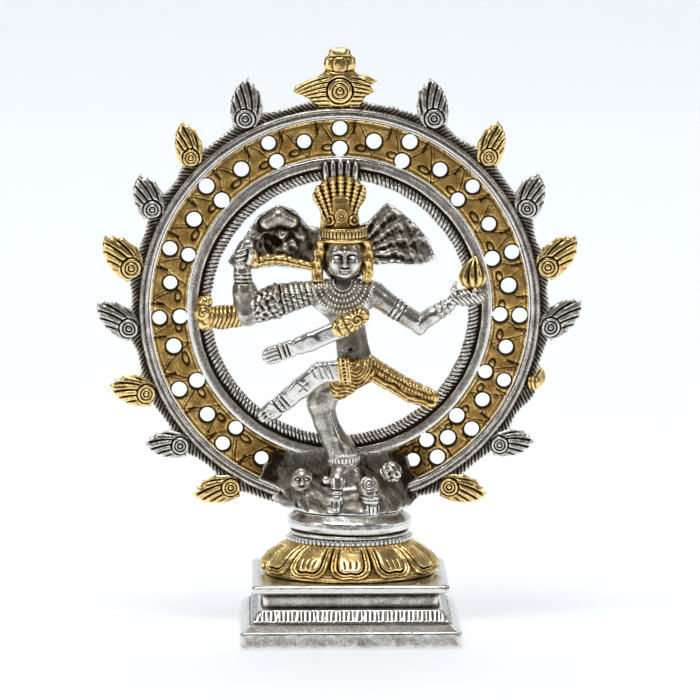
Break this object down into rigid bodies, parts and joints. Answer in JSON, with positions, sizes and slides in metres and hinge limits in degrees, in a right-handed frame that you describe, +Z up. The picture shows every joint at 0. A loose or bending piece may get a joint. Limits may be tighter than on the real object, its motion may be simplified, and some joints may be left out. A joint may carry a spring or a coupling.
{
  "type": "dancing figure statue",
  "caption": "Small cast brass ornament of a many-armed dancing figure inside a flaming pierced halo, on a lotus pedestal.",
  "frame": {"origin": "middle of the whole ornament's width and depth, at the level it stands on", "axes": "+Z up, the figure faces -Y, +X to the viewer's right seen from the front"},
  "size_m": [0.1436, 0.053, 0.1776],
  "materials": {
    "antique_silver": "cast brass with an antique silver wash: bright on the rubbed high places, dark brown in the recesses",
    "antique_gold": "cast brass with an antique gold finish: bright on the rubbed high places, dark brown in the recesses",
    "steel": "plain zinc-coated steel"
  },
  "bodies": {
    "root": {"anklet": "antique_silver", "beaded_collar": "antique_silver", "crest_finial": "antique_gold", "crown": "antique_gold", "drum_forearm": "antique_gold", "dwarf": "antique_silver", "earring": "antique_gold", "fixing_bolt": "steel", "fixing_washer": "steel", "flame_forearm": "antique_silver", "flame_hand": "antique_silver", "flame_upper_arm": "antique_silver", "halo_inner_rim": "antique_silver", "halo_outer_rim": "antique_silver", "halo_pierced_band": "antique_gold", "hand_drum": "antique_gold", "head": "antique_silver", "kilt": "antique_gold", "left_flame_1": "antique_silver", "left_flame_2": "antique_gold", "left_flame_3": "antique_silver", "left_flame_4": "antique_gold", "left_flame_5": "antique_silver", "left_flame_6": "antique_gold", "left_flame_7": "antique_silver", "left_flame_8": "antique_gold", "left_hair_fan": "antique_silver", "left_side_lock": "antique_gold", "lotus_cushion": "antique_gold", "mound": "antique_silver", "necklace": "antique_silver", "palm_flame": "antique_gold", "pedestal_drum": "antique_silver", "plinth": "antique_silver", "raised_foot": "antique_silver", "raised_forearm": "antique_silver", "raised_hand": "antique_silver", "raised_leg": "antique_silver", "right_flame_1": "antique_silver", "right_flame_2": "antique_gold", "right_flame_3": "antique_silver", "right_flame_4": "antique_gold", "right_flame_5": "antique_silver", "right_flame_6": "antique_gold", "right_flame_7": "antique_silver", "right_flame_8": "antique_gold", "right_hair_fan": "antique_silver", "right_side_lock": "antique_gold", "right_upper_arm": "antique_silver", "sash": "antique_gold", "serpent": "antique_gold", "standing_leg": "antique_silver", "swing_arm": "antique_silver", "swing_armlet": "antique_gold", "swing_hand": "antique_silver", "thigh_band": "antique_gold", "torso": "antique_silver"}
  },
  "joints": []
}
